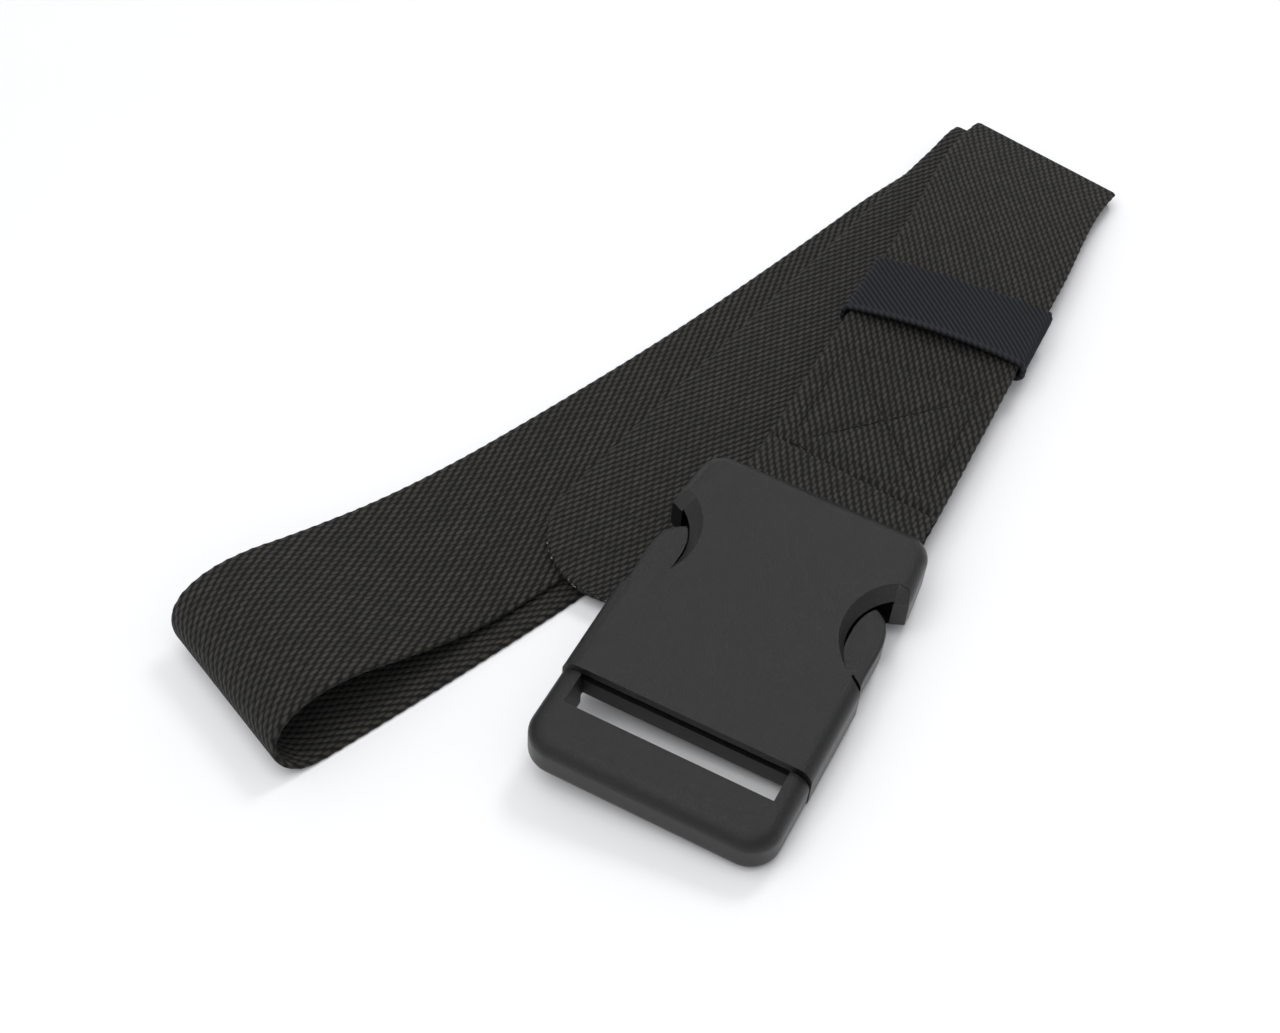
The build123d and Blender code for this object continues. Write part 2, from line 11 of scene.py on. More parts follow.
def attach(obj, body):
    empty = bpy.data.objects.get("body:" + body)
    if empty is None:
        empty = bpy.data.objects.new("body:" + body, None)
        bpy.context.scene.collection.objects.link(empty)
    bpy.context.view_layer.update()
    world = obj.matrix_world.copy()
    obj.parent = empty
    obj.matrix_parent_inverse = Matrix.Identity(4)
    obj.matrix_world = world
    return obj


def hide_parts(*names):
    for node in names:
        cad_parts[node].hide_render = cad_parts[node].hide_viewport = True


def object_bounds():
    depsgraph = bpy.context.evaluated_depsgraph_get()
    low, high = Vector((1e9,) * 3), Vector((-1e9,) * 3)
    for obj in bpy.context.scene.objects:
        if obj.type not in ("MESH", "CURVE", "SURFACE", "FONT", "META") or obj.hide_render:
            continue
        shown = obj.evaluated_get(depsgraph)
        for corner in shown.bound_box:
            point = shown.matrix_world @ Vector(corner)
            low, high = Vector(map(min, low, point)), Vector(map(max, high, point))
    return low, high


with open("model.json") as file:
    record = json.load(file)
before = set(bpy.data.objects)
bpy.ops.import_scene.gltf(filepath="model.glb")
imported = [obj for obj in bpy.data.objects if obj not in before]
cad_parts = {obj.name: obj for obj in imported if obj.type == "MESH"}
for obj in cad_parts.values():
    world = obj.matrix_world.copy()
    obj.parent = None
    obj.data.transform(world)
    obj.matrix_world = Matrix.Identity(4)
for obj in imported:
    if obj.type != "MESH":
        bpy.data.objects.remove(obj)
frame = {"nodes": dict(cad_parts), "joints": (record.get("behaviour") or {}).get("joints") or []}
cad_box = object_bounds()
nodes = frame["nodes"]
joints = {joint["name"]: joint for joint in frame["joints"]}
scene = bpy.context.scene
MM = 0.001
UP = Vector((0, 0, 1))

# %% [markdown]
# ## Camera
#
# A camera could be placed by its own coordinates, but those say nothing to a reader. Here it is
# placed like a tripod: pick the point to look at, walk back from it along a heading, and raise
# the camera by an elevation. The small roll is a tripod that wasn't quite level.
# %% Camera
CAMERA_HEADING = radians(28.58)
CAMERA_ELEVATION = radians(47.73)
CAMERA_ROLL = radians(-1.245)
CAMERA_DISTANCE = 480 * MM
CAMERA_LENS = 55.46

box_low = Vector(cad_box[0])
aim = Vector((17.7 * MM, box_low.y + 86.1 * MM, 35.2 * MM))
look = Vector((
    -sin(CAMERA_HEADING) * cos(CAMERA_ELEVATION),
    cos(CAMERA_HEADING) * cos(CAMERA_ELEVATION),
    -sin(CAMERA_ELEVATION),
))
camera_data = bpy.data.cameras.new("camera")
camera_data.lens = CAMERA_LENS
camera_data.clip_start = 10 * MM
camera = bpy.data.objects.new("camera", camera_data)
turn = look.to_track_quat("-Z", "Y").to_matrix().to_4x4() @ Matrix.Rotation(CAMERA_ROLL, 4, "Z")
camera.matrix_world = Matrix.Translation(aim - look * CAMERA_DISTANCE) @ turn
scene.collection.objects.link(camera)
scene.camera = camera
print("camera at", [round(value, 4) for value in camera.matrix_world.translation])

# %% [markdown]
# ## Floor and light
#
# Black things on white are lit like product shots: a bright world and one very large panel
# overhead, so that shadows are faint. The panel leans to the front, because right above the
# buckle it would mirror in the flat plastic and turn it grey. A small panel behind the belt puts
# a soft sheen on what faces up. The Standard view transform is used because the filmic one turns
# a white floor grey.
# %% Floor
FLOOR_SIZE = 6.0


def new_object(name, mesh):
    """Link a mesh to the scene as a new object at the origin."""
    piece = bpy.data.objects.new(name, mesh)
    scene.collection.objects.link(piece)
    return piece


def finish_mesh(bm, name):
    """Turn a bmesh into an object with smooth shading."""
    mesh = bpy.data.meshes.new(name)
    for face in bm.faces:
        face.smooth = True
    bm.to_mesh(mesh)
    bm.free()
    piece = new_object(name, mesh)
    print(f"{name}: {len(mesh.vertices)} vertices, {len(mesh.polygons)} faces")
    return piece


bm = bmesh.new()
bmesh.ops.create_grid(bm, x_segments=1, y_segments=1, size=FLOOR_SIZE / 2)
studio_floor = finish_mesh(bm, "studio_floor")

# %% Light
scene.view_settings.view_transform = "Standard"
world = bpy.data.worlds.new("studio")
scene.world = world
world.use_nodes = True
background = world.node_tree.nodes["Background"]
background.inputs["Color"].default_value = (0.97, 0.98, 1.0, 1)
background.inputs["Strength"].default_value = 0.62


def add_panel(name, azimuth, elevation, distance, size, power):
    """A soft square light, aimed at the belt from an azimuth (0 is +Y) and an elevation."""
    light = bpy.data.lights.new(name, "AREA")
    light.size = size
    light.energy = power
    lamp = bpy.data.objects.new(name, light)
    away = Vector((
        sin(radians(azimuth)) * cos(radians(elevation)),
        cos(radians(azimuth)) * cos(radians(elevation)),
        sin(radians(elevation)),
    ))
    lamp.matrix_world = Matrix.Translation(away * distance) @ (
        away.to_track_quat("Z", "Y").to_matrix().to_4x4()
    )
    scene.collection.objects.link(lamp)


add_panel("overhead_panel", 190, 74, 1.6, 1.4, 14)
add_panel("rear_panel", 9, 54, 1.2, 0.3, 3.4)
add_panel("front_fill", 200, 35, 1.8, 1.2, 2.5)
print("lights:", [light.name for light in bpy.data.lights])

# %% [markdown]
# ## Where the buckle and the straight stretch are
#
# The joints in the record say where the hard parts are and how they lean. The tilt joint stands
# at the middle of the buckle's crossbar, the release joint runs along the buckle, and the squeeze
# joint stands square to it. The keeper's slide runs along the straight stretch of the strap. So
# both leaning planes get their place and lean from the joints.
# %% Reference planes
class Plane:
    """A leaning plane: millimetres across, along and up turn into a point in the frame."""

    def __init__(self, origin, along, up):
        self.origin = origin
        self.along = along.normalized()
        self.across = self.along.cross(up).normalized()
        self.up = self.across.cross(self.along)

    def at(self, across, along, up):
        return self.origin + (self.across * across + self.along * along + self.up * up) * MM


BAR_ALONG = 72.0        # the crossbar, measured from the buckle's mouth
BAR_UP = 7.0
STRETCH_START = 95.0    # where the straight stretch starts, and the height of its top ply
STRETCH_UP = 7.9
STRAP_ACROSS = 3.0
TOWARDS_STRAP = -1.1    # the stretch heads slightly left of the buckle, in degrees
DIP_START = 92.0        # past the keeper's travel the strap dips towards the floor
DIP_SLOPE = radians(4.6)

buckle = Plane(
    Vector(joints["buckle_tilt"]["pos_m"]),
    -Vector(joints["buckle_release"]["axis"]),
    Vector(joints["right_arm_squeeze"]["axis"]),
)
buckle.origin = buckle.at(0, -BAR_ALONG, -BAR_UP)
stretch = Plane(
    buckle.at(STRAP_ACROSS, STRETCH_START, STRETCH_UP),
    Vector(joints["keeper_slide"]["axis"]),
    buckle.up,
)
dip = Plane(
    stretch.at(0, DIP_START, 0),
    stretch.along * cos(DIP_SLOPE) - stretch.up * sin(DIP_SLOPE),
    stretch.up,
)
print("mouth of the buckle:", [round(value, 5) for value in buckle.origin])

# %% [markdown]
# ## The strap's route
#
# Cloth simulation is the usual way to drape fabric, but thick elastic webbing hardly drapes: it
# runs flat, and it turns over along a few sharp fold lines. A strip like that is better laid along
# a listed route. Its route is a row of rungs, like a rope ladder: each rung joins the strap's left
# edge to its right edge. A slanted rung lies along a slanted fold, and the material on both sides
# of it keeps its true length, which is what makes a fold look like a fold.
# %% Rungs on the straight stretch and round the bar
WIDTH = 50.0
THICKNESS = 1.6
PLY_PITCH = THICKNESS + 0.05
SEWN_END = 68.0         # the sewn end stops under the keeper
LOOP_RADIUS = 3.1       # round the bar, in this many steps
BAR_STEPS = 8
PLIES_CLOSE = 84.0      # behind the bar the two plies come together, at these heights
LOWER_PLY_UP = 4.9
UPPER_PLY_UP = 9.2
SEWN_ROW = 0.9          # how far apart the rows of the mesh are, along the strap
RUN_ROW = 1.25

rungs = []              # (left point, right point, spacing of the rows that lead to it)


def add_rung(middle, across, spacing=RUN_ROW, width=WIDTH):
    half = across * (width / 2 * MM)
    rungs.append((middle - half, middle + half, spacing))


def stretch_rung(distance, depth, spacing=RUN_ROW):
    add_rung(stretch.at(0, distance, -depth), stretch.across, spacing)


def dip_rung(distance):
    add_rung(dip.at(0, distance, 0), dip.across)


def buckle_rung(along, up):
    shift = (along - BAR_ALONG) * sin(radians(TOWARDS_STRAP))
    add_rung(buckle.at(STRAP_ACROSS + shift, along, up), buckle.across)


for distance in (SEWN_END, SEWN_END - 2, 2, 0):
    stretch_rung(distance, PLY_PITCH)
buckle_rung(PLIES_CLOSE, LOWER_PLY_UP)
for step in range(BAR_STEPS + 1):
    angle = radians(-90 - 180 * step / BAR_STEPS)
    buckle_rung(BAR_ALONG + LOOP_RADIUS * cos(angle), BAR_UP + LOOP_RADIUS * sin(angle))
TOP_PLY_START = len(rungs)
buckle_rung(PLIES_CLOSE, UPPER_PLY_UP)
stretch_rung(-2.0, -0.25, SEWN_ROW)
stretch_rung(3.0, 0.0, SEWN_ROW)
for distance in (44, 80, 88):
    stretch_rung(distance, 0.0, SEWN_ROW if distance < 60 else RUN_ROW)
dip_rung(4)
print("rungs to the first fold:", len(rungs))

# %% Rungs round a fold
FOLD_A_LEFT = dip.at(-WIDTH / 2, 69.8, 0)
FOLD_A_RIGHT = dip.at(WIDTH / 2, 58.3, 0)
FOLD_A_STEPS = 10
FOLD_A_SHIFT = 2.2      # how far the strap moves along the fold line as it turns over
LOW_PLY = 0.8
SECOND_PLY = LOW_PLY + PLY_PITCH
THIRD_PLY = LOW_PLY + 2 * PLY_PITCH


def at_height(point, height):
    return Vector((point.x, point.y, height * MM))


def square_to(left, right):
    """The level direction away from the strap, square to a fold line."""
    line = at_height(right - left, 0).normalized()
    return Vector((-line.y, line.x, 0))


def add_fold(first, last, steps):
    """Turn the strap over along a fold line, from the first pair of corners to the last."""
    outward = square_to(*first)
    for step in range(steps + 1):
        angle = pi / 2 - pi * step / steps
        corners = []
        for start, end in zip(first, last):
            bulge = outward * (abs(start.z - end.z) / 2 * cos(angle))
            corners.append(end.lerp(start, (1 + sin(angle)) / 2) + bulge)
        rungs.append((*corners, RUN_ROW))


fold_a_line = at_height(FOLD_A_RIGHT - FOLD_A_LEFT, 0).normalized()
fold_a_low = [
    at_height(corner - fold_a_line * (FOLD_A_SHIFT * MM), LOW_PLY)
    for corner in (FOLD_A_LEFT, FOLD_A_RIGHT)
]
add_fold((FOLD_A_LEFT, FOLD_A_RIGHT), fold_a_low, FOLD_A_STEPS)
print("first fold ends at rung", len(rungs))

# %% Rungs along the two runs and round the open loop
def on_floor(x, y, height=0.0):
    """Plan millimetres from the buckle's mouth, at a height above the floor."""
    return Vector((MOUTH_X + x * MM, MOUTH_Y + y * MM, height * MM))


# the mouth's place in plan: the buckle leans about a point inside it, not about its mouth
LEAN_ACROSS = 30.0
LEAN_ALONG = -20.0
lean_point = buckle.at(LEAN_ACROSS, LEAN_ALONG, 0) - Vector((LEAN_ACROSS, LEAN_ALONG, 0)) * MM
MOUTH_X, MOUTH_Y = lean_point.x, lean_point.y
LOOP_END = on_floor(-108.3, -34.1)
LOOP_HEADING = radians(24.7)
LOOP_SKEW = 6.5         # the lower ply lies this far to the right of the upper one
FOLD_C_LEFT = on_floor(-31.2, 257.0)
FOLD_C_RIGHT = on_floor(17.4, 246.5)
print("mouth in plan:", round(MOUTH_X / MM, 2), round(MOUTH_Y / MM, 2))


def heading_vector(heading):
    return Vector((sin(heading), cos(heading), 0))


class Run:
    """A gently curved run, an arc in plan, from the loop's end to the middle of a fold."""

    def __init__(self, far_point, skew):
        along = heading_vector(LOOP_HEADING)
        self.start = LOOP_END + Vector((along.y, -along.x, 0)) * (skew * MM)
        chord = at_height(far_point - self.start, 0)
        self.turn = 2 * (LOOP_HEADING - atan2(chord.x, chord.y))
        self.length = chord.length * (self.turn / 2) / sin(self.turn / 2)

    def rung(self, distance, left_height, right_height):
        bend = self.turn * distance * MM / self.length
        radius = self.length / self.turn
        travelled = Vector((
            cos(LOOP_HEADING - bend) - cos(LOOP_HEADING),
            sin(LOOP_HEADING) - sin(LOOP_HEADING - bend),
            0,
        ))
        along = heading_vector(LOOP_HEADING - bend)
        half = Vector((along.y, -along.x, 0)) * (WIDTH / 2 * MM)
        middle = self.start + travelled * radius
        left = at_height(middle - half, left_height)
        right = at_height(middle + half, right_height)
        rungs.append((left, right, RUN_ROW))


fold_c_middle = (FOLD_C_LEFT + FOLD_C_RIGHT) / 2
low_run = Run((fold_a_low[0] + fold_a_low[1]) / 2, LOOP_SKEW)
top_run = Run(fold_c_middle, 0.0)
# how far in from the loop's end, how far to the right, and the heights of the two edges
LOOP_PROFILE = (
    (8.0, 6.5, 0.9, 0.9), (2.6, 6.2, 1.9, 1.9), (-0.6, 5.4, 4.5, 4.4), (-1.9, 4.3, 8.2, 8.0),
    (-1.0, 3.2, 12.0, 11.6), (2.3, 2.2, 15.1, 14.6), (7.6, 1.3, 16.7, 16.1),
    (13.6, 0.7, 17.1, 16.4), (22.0, 0.3, 16.2, 15.2), (34.0, 0.0, 13.2, 11.2),
    (46.0, 0.0, 10.6, 7.3), (60.0, 0.0, 8.0, 4.1), (76.0, 0.0, 6.0, 2.8),
)
# the upper ply settles on the lower one, its left edge last
TOP_RUN_SETTLING = (
    (90, 4.9), (110, 4.1), (130, 3.5), (150, 2.9), (170, 2.5), (210, 2.45), (250, 2.45),
)
for distance in (270, 230, 190, 150, 110, 70, 30, 18, 13):
    low_run.rung(distance, LOW_PLY, LOW_PLY)
for inwards, skew, left_height, right_height in LOOP_PROFILE:
    Run(fold_c_middle, skew).rung(inwards, left_height, right_height)
for distance, left_height in TOP_RUN_SETTLING:
    top_run.rung(distance, left_height, SECOND_PLY)
print("rungs to the last fold:", len(rungs))

# %% Rungs round the last fold and down the tail
TAIL_HEADING = radians(9.5)
TAIL_LENGTH = 223.0
TIP_LIFT = 1.0          # the tip lies on the part that hasn't settled yet
TIP_RADIUS = WIDTH / 2
TIP_ROWS = 22
FOLD_C_STEPS = 6

add_fold(
    (at_height(FOLD_C_LEFT, SECOND_PLY), at_height(FOLD_C_RIGHT, SECOND_PLY)),
    (at_height(FOLD_C_LEFT, THIRD_PLY), at_height(FOLD_C_RIGHT, THIRD_PLY)),
    FOLD_C_STEPS,
)
tail_along = heading_vector(TAIL_HEADING)
tail_across = Vector((tail_along.y, -tail_along.x, 0))
tail_start = at_height((FOLD_C_LEFT + FOLD_C_RIGHT) / 2, THIRD_PLY)


def tail_rung(distance, lift=TIP_LIFT):
    add_rung(tail_start - tail_along * (distance * MM) + UP * (lift * MM), tail_across)


for distance, lift in ((14, 0.0), (50, 0.1), (90, 0.3), (140, 0.9), (170, TIP_LIFT)):
    tail_rung(distance, lift)
TIP_START = len(rungs)
for row in range(TIP_ROWS + 1):
    tail_rung(TAIL_LENGTH - TIP_RADIUS + TIP_RADIUS * sin(pi / 2 * row / TIP_ROWS))
print("rungs in all:", len(rungs))

# %% Smooth the route into closely spaced rows
def edge_tangents(points):
    """The direction of travel at each point, led by the nearer neighbour."""
    steps = [after - before for before, after in zip(points, points[1:])]
    tangents = [steps[0].normalized()]
    for before, after in zip(steps, steps[1:]):
        pull = before.normalized() * after.length + after.normalized() * before.length
        tangents.append(pull.normalized())
    tangents.append(steps[-1].normalized())
    return tangents


def smooth_edge(points, counts):
    """A smooth line through the points, with a given number of rows to each stretch."""
    tangents = edge_tangents(points)
    line = [points[0]]
    for step, count in enumerate(counts):
        start, end = points[step], points[step + 1]
        reach = (end - start).length / 3
        handles = start + tangents[step] * reach, end - tangents[step + 1] * reach
        line += interpolate_bezier(start, *handles, end, count + 1)[1:]
    return line


def lengths_along(line):
    """How far along the material each point of an edge is, in millimetres."""
    total, lengths = 0.0, [0.0]
    for before, after in zip(line, line[1:]):
        total += (after - before).length / MM
        lengths.append(total)
    return lengths


lefts, rights, spacings = zip(*rungs)
row_counts = []
for step in range(1, len(rungs)):
    reach = max((lefts[step] - lefts[step - 1]).length, (rights[step] - rights[step - 1]).length)
    row_counts.append(max(1, round(reach / (spacings[step] * MM))))
left_edge = smooth_edge(lefts, row_counts)
right_edge = smooth_edge(rights, row_counts)
for point in (*left_edge, *right_edge):
    point.z = max(point.z, LOW_PLY * MM)
left_lengths = lengths_along(left_edge)
right_lengths = lengths_along(right_edge)
top_ply_row = sum(row_counts[:TOP_PLY_START])
tip_row = sum(row_counts[:TIP_START])

# %% [markdown]
# ## The strap
#
# The strip starts as a flat grid, cut to size, as the real webbing is cut from a roll. Its UV map
# is the cloth's own ruler: millimetres across and along, so that the weave follows every fold.
# Then each row of the grid moves to its row of the route. The round tip is cut by narrowing the
# last rows. Where the strap is sewn, the thread pulls the surface down, so the vertices near a
# line of stitches sink. Solidify gives the thickness, and a vertex group thins it at the edges,
# because woven edges are rounded.
# %% Cut the webbing flat and lay it along the route
COLUMN_EDGES = (0.0, 0.4, 1.1)          # the outer columns are narrow, for a rounded edge
COLUMNS = 44
EDGE_THICKNESS = (0.45, 0.8, 1.0)       # the thickness of those columns, as a share
NARROWEST = 0.02        # the tip's last row, as a share of the width
SCALLOP = 0.13          # how far the weft loops stand out at the edge
SCALLOP_PITCH = 3.6
BOX_START = 0.6         # the box of stitches, along the straight stretch
BOX_END = 41.5
BOX_HALF_WIDTH = 19.5
CREASE_AT = -2.2        # a slanting crease where the sewn part starts
CREASE_SLANT = -0.13
CREASE_DEPTH = 1.1
CREASE_REACH = 1.5
PUCKER_DEPTH = 0.5
PUCKER_REACH = 1.8
PULLED_HEIGHT = 1.5     # only the top ply is pulled in, and only on this part of the stretch
PULLED_FROM = -8.0
PULLED_TO = 50.0
BOX_CORNERS = (
    Vector((-BOX_HALF_WIDTH, BOX_START)), Vector((BOX_HALF_WIDTH, BOX_START)),
    Vector((BOX_HALF_WIDTH, BOX_END)), Vector((-BOX_HALF_WIDTH, BOX_END)),
)
BOX_LINES = (
    (0, 1), (1, 2), (2, 3), (3, 0), (0, 2), (1, 3),
)


def column_at(column):
    """Where a column lies across the strap, in millimetres from its left edge."""
    outer = len(COLUMN_EDGES)
    if column < outer:
        return COLUMN_EDGES[column]
    if column > COLUMNS - outer:
        return WIDTH - COLUMN_EDGES[COLUMNS - column]
    inner = COLUMN_EDGES[-1]
    share = (column - outer + 1) / (COLUMNS - 2 * outer + 2)
    return inner + (WIDTH - 2 * inner) * share


def distance_to_line(point, start, end):
    line = end - start
    share = max(0.0, min(1.0, (point - start).dot(line) / line.length_squared))
    return (point - start - line * share).length


def pucker(across, along):
    """How far the thread pulls the surface down, at a place on the straight stretch."""
    place = Vector((across, along))
    depth = 0.0
    for first, second in BOX_LINES:
        gap = distance_to_line(place, BOX_CORNERS[first], BOX_CORNERS[second])
        depth = max(depth, PUCKER_DEPTH * max(0.0, 1 - (gap / PUCKER_REACH) ** 2))
    from_crease = along - CREASE_AT - CREASE_SLANT * across
    crease = max(0.0, 1 - (from_crease / CREASE_REACH) ** 2)
    return max(depth, CREASE_DEPTH * crease * min(1.0, (WIDTH / 2 - abs(across)) / 2))


columns = [column_at(column) for column in range(COLUMNS + 1)]
row_total = len(left_edge) - 1
bm = bmesh.new()
bmesh.ops.create_grid(bm, x_segments=COLUMNS, y_segments=row_total, size=0.5)
ruler = bm.loops.layers.uv.new("ruler")
weights = bm.verts.layers.deform.new()
flat_place = {}
for vertex in bm.verts:
    column = round((vertex.co.x + 0.5) * COLUMNS)
    row = round((vertex.co.y + 0.5) * row_total)
    across = columns[column]
    share = across / WIDTH
    along = left_lengths[row] * (1 - share) + right_lengths[row] * share
    narrow = 1.0
    if row > tip_row:
        tip_turn = min(1.0, (row - tip_row) / TIP_ROWS)
        narrow = max(NARROWEST, cos(pi / 2 * tip_turn))
    across = WIDTH / 2 + (across - WIDTH / 2) * narrow
    scallop = SCALLOP * cos(2 * pi * along / SCALLOP_PITCH) * (column in (0, COLUMNS)) * narrow
    spread = (across - WIDTH / 2 + (scallop if column else -scallop)) / WIDTH + 0.5
    vertex.co = left_edge[row].lerp(right_edge[row], spread)
    if row >= top_ply_row:
        place = (vertex.co - stretch.origin) / MM
        on_stretch = place.dot(stretch.across), place.dot(stretch.along)
        on_top = abs(place.dot(stretch.up)) < PULLED_HEIGHT
        if on_top and PULLED_FROM < on_stretch[1] < PULLED_TO:
            vertex.co -= stretch.up * (pucker(*on_stretch) * MM)
    edge_distance = min(column, COLUMNS - column)
    vertex[weights][0] = EDGE_THICKNESS[min(edge_distance, 2)]
    flat_place[vertex] = (across, along)
for face in bm.faces:
    for loop in face.loops:
        loop[ruler].uv = flat_place[loop.vert]
strap = finish_mesh(bm, "strap_webbing")
strap.vertex_groups.new(name="thickness")
thicken = strap.modifiers.new("thickness", "SOLIDIFY")
thicken.thickness = THICKNESS * MM
thicken.offset = 0.0
thicken.use_even_offset = False
thicken.vertex_group = "thickness"
thicken.thickness_vertex_group = 0.0

# %% [markdown]
# ## The stitches
#
# A line of stitches could be a bump in the webbing's material, but a stitch is a short piece of
# thread that stands up and catches the light, so each one is real. One stitch is a stretched
# ball, half sunk in its groove. A function walks along a line and sets them down.
# %% Lines of stitches
STITCH_PITCH = 3.0
STITCH_LENGTH = 2.5
STITCH_WIDTH = 0.5
STITCH_HEIGHT = 0.34
STITCH_SINK = 0.06      # how far below the pulled-in surface the thread's middle lies


def add_stitch(bm, middle, along, up):
    """One stitch: a ball stretched along its line."""
    across = along.cross(up)
    turn = Matrix((across, along, up)).transposed().to_4x4()
    half_sizes = Vector((STITCH_WIDTH, STITCH_LENGTH, STITCH_HEIGHT)) * MM / 2
    size = Matrix.Diagonal((*half_sizes, 1))
    place = Matrix.Translation(middle) @ turn @ size
    bmesh.ops.create_uvsphere(bm, u_segments=8, v_segments=6, radius=1.0, matrix=place)


def sew_line(bm, plane, start, end, height, side):
    """Stitches from start to end, in a plane's millimetres, on its upper or lower side."""
    line = Vector(end) - Vector(start)
    count = max(1, round(line.length / STITCH_PITCH))
    along = (plane.across * line.x + plane.along * line.y).normalized()
    for index in range(count):
        spot = Vector(start) + line * ((index + 0.5) / count)
        add_stitch(bm, plane.at(spot.x, spot.y, height), along, plane.up * side)


bm = bmesh.new()
top_face = THICKNESS / 2 - PUCKER_DEPTH - STITCH_SINK
under_face = -PLY_PITCH - THICKNESS / 2
for first, second in BOX_LINES:
    for height, side in ((top_face, 1), (under_face, -1)):
        sew_line(bm, stretch, BOX_CORNERS[first], BOX_CORNERS[second], height, side)
sewn_box = finish_mesh(bm, "sewn_box")

# %% [markdown]
# ## The keeper
#
# The keeper is a band of thinner, ribbed elastic. Its ribs run on a slant, and they're big enough
# to break up its outline, so they're modelled. As with the strap, a flat grid is cut first, and
# then it is wrapped round the sewn strap. The grid's columns follow the ribs, so that a few rows
# are enough. The last rows roll over into the hem on the buckle's side. The band is a little
# loose, so its top stands up in the middle, most of all at the hem.
# %% Wrap the band
KEEPER_FRONT = 56.2
KEEPER_LENGTH = 25.3
KEEPER_SKEW = 0.066     # its right side sits further from the buckle than its left
BAND_HALF_WIDTH = 26.4
BAND_TOP = 1.75
BAND_BOTTOM = -3.75
BAND_CORNER = 1.9
BAND_THICKNESS = 0.7
HEM_RADIUS = 0.85
HEM_START = radians(20) # the hem rolls over from here
HEM_TURN = radians(290)
HEM_RIPPLE = 0.12       # the ribs still show in the hem
RIB_COUNT = 62
RIB_HEIGHT = 0.5
RIB_SLANT = 0.97        # how far round the band a rib goes for each millimetre along it
COLUMNS_TO_A_RIB = 10
HEM_ROWS = 14
BAND_ROWS = 30
CROWN_FRONT = 2.3
CROWN_REAR = 0.7

straight_across = 2 * (BAND_HALF_WIDTH - BAND_CORNER)
straight_up = BAND_TOP - BAND_BOTTOM - 2 * BAND_CORNER
quarter = BAND_CORNER * pi / 2
BAND_AROUND = 2 * straight_across + 2 * straight_up + 4 * quarter


def band_section(distance):
    """A point on the band's section and the way out from it, from a distance round it."""
    corner_across = BAND_HALF_WIDTH - BAND_CORNER
    corner_top = BAND_TOP - BAND_CORNER
    corner_bottom = BAND_BOTTOM + BAND_CORNER
    # length, start, heading, and the centre of the corner that follows
    sides = (
        (straight_across, (-corner_across, BAND_TOP), 0, (corner_across, corner_top)),
        (straight_up, (BAND_HALF_WIDTH, corner_top), -90, (corner_across, corner_bottom)),
        (straight_across, (corner_across, BAND_BOTTOM), 180, (-corner_across, corner_bottom)),
        (straight_up, (-BAND_HALF_WIDTH, corner_bottom), 90, (-corner_across, corner_top)),
    )
    for length, start, heading, centre in sides:
        travel = Vector((cos(radians(heading)), sin(radians(heading))))
        out = Vector((-travel.y, travel.x))
        if distance <= length:
            return Vector(start) + travel * distance, out
        distance -= length
        if distance <= quarter:
            angle = distance / BAND_CORNER
            out = out * cos(angle) + travel * sin(angle)
            return Vector(centre) + out * BAND_CORNER, out
        distance -= quarter
    return Vector(sides[0][1]), Vector((0, 1))


band_total = BAND_ROWS + HEM_ROWS
bm = bmesh.new()
bmesh.ops.create_grid(bm, x_segments=RIB_COUNT * COLUMNS_TO_A_RIB, y_segments=band_total, size=0.5)
ruler = bm.loops.layers.uv.new("ruler")
flat_place = {}
for vertex in bm.verts:
    start = (vertex.co.x + 0.5) * BAND_AROUND
    row = round((vertex.co.y + 0.5) * band_total)
    rib = 0.5 + 0.5 * cos(2 * pi * RIB_COUNT * start / BAND_AROUND)
    if row <= BAND_ROWS:
        back = KEEPER_LENGTH - (KEEPER_LENGTH - HEM_RADIUS * 2) * row / BAND_ROWS
        lift = RIB_HEIGHT * rib ** 0.8 * min(1.0, (BAND_ROWS - row) / 2)
        flat_along = KEEPER_LENGTH - back
    else:
        roll = HEM_TURN * (row - BAND_ROWS) / HEM_ROWS + HEM_START
        back = HEM_RADIUS * (1 + cos(roll))
        lift = HEM_RADIUS * sin(roll) + HEM_RIPPLE * rib
        flat_along = KEEPER_LENGTH + HEM_RADIUS * roll
    spot, out = band_section((start - RIB_SLANT * back) % BAND_AROUND)
    share = back / KEEPER_LENGTH
    crown = CROWN_FRONT + (CROWN_REAR - CROWN_FRONT) * share
    bulge = crown * max(0.0, 1 - (spot.x / BAND_HALF_WIDTH) ** 2) * (out.y > 0.5)
    spot = spot + out * lift
    vertex.co = stretch.at(spot.x, KEEPER_FRONT + back + KEEPER_SKEW * spot.x, spot.y + bulge)
    flat_place[vertex] = (start, flat_along)
for face in bm.faces:
    for loop in face.loops:
        loop[ruler].uv = flat_place[loop.vert]
bmesh.ops.remove_doubles(bm, verts=bm.verts, dist=1e-6)
bmesh.ops.recalc_face_normals(bm, faces=bm.faces)
keeper = finish_mesh(bm, "keeper")
thicken = keeper.modifiers.new("thickness", "SOLIDIFY")
thicken.thickness = BAND_THICKNESS * MM
thicken.offset = -1.0
print(f"keeper: {BAND_AROUND:.0f} mm round")

# %% Close the band with two rows of stitches underneath
SEAM_INSET = 3.0
SEAM_MARGIN = 2.5
bm = bmesh.new()
for row in (-SEAM_INSET, SEAM_INSET):
    front, rear = KEEPER_FRONT + SEAM_MARGIN, KEEPER_FRONT + KEEPER_LENGTH - SEAM_MARGIN
    sew_line(bm, stretch, (row, front), (row, rear), BAND_BOTTOM - RIB_HEIGHT, -1)
keeper_seam = finish_mesh(bm, "keeper_seam")

